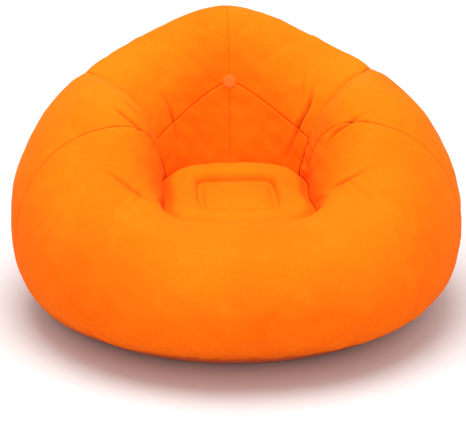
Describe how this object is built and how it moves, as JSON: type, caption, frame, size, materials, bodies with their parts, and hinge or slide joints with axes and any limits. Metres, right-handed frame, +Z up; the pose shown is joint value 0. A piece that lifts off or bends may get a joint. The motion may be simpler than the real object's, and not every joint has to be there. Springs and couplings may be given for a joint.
{
  "type": "inflatable lounge chair",
  "caption": "Low round air-filled lounge chair: flocked ring with arms and a tall back, a tied-down seat, a flat base, and a valve with plug, flap and cap.",
  "frame": {"origin": "on the floor, under the middle of the chair's box", "axes": "+Z up; the sitter faces -Y; +X is to the right of somebody who looks at the chair's front"},
  "size_m": [1.0801, 1.046, 0.66],
  "materials": {
    "flocked_pvc": "short flocked nap on PVC sheet",
    "base_pvc": "plain embossed PVC sheet",
    "patch": "flocked patch, slightly pinker",
    "tie_pvc": "plain PVC sheet",
    "valve_soft": "soft moulded PVC",
    "valve_plug": "moulded PVC",
    "valve_cap": "soft moulded PVC",
    "flap": "soft rubber"
  },
  "bodies": {
    "chair": {"front_panel": "flocked_pvc", "right_arm_panel": "flocked_pvc", "left_arm_panel": "flocked_pvc", "right_back_panel": "flocked_pvc", "left_back_panel": "flocked_pvc", "right_lower_back_panel": "flocked_pvc", "left_lower_back_panel": "flocked_pvc", "seat_panel": "flocked_pvc", "base_panel": "base_pvc", "seat_tie_doubler": "tie_pvc", "base_tie_doubler": "tie_pvc", "front_tie_web": "tie_pvc", "right_tie_web": "tie_pvc", "back_tie_web": "tie_pvc", "left_tie_web": "tie_pvc", "centre_patch": "patch", "valve_flange": "valve_soft"},
    "plug": {"valve_plug": "valve_plug", "cap_strap": "valve_soft"},
    "flap": {"check_flap": "flap"},
    "cap": {"seal_cap": "valve_cap"}
  },
  "joints": [
    {"name": "plug_pull", "type": "slide", "parent": "chair", "child": "plug", "axis": [-0.4222, 0.8733, -0.2432], "range_m": [0, 0.025]},
    {"name": "flap_travel", "type": "slide", "parent": "plug", "child": "flap", "axis": [0.4222, -0.8733, 0.2432], "range_m": [0, 0.004], "stiffness_N_per_m": 40},
    {"name": "cap_hinge", "type": "hinge", "parent": "plug", "child": "cap", "pos_m": [-0.23482, 0.46149, 0.22966], "axis": [0.9002, 0.4354, 0.0008], "range_deg": [0, 100]}
  ]
}
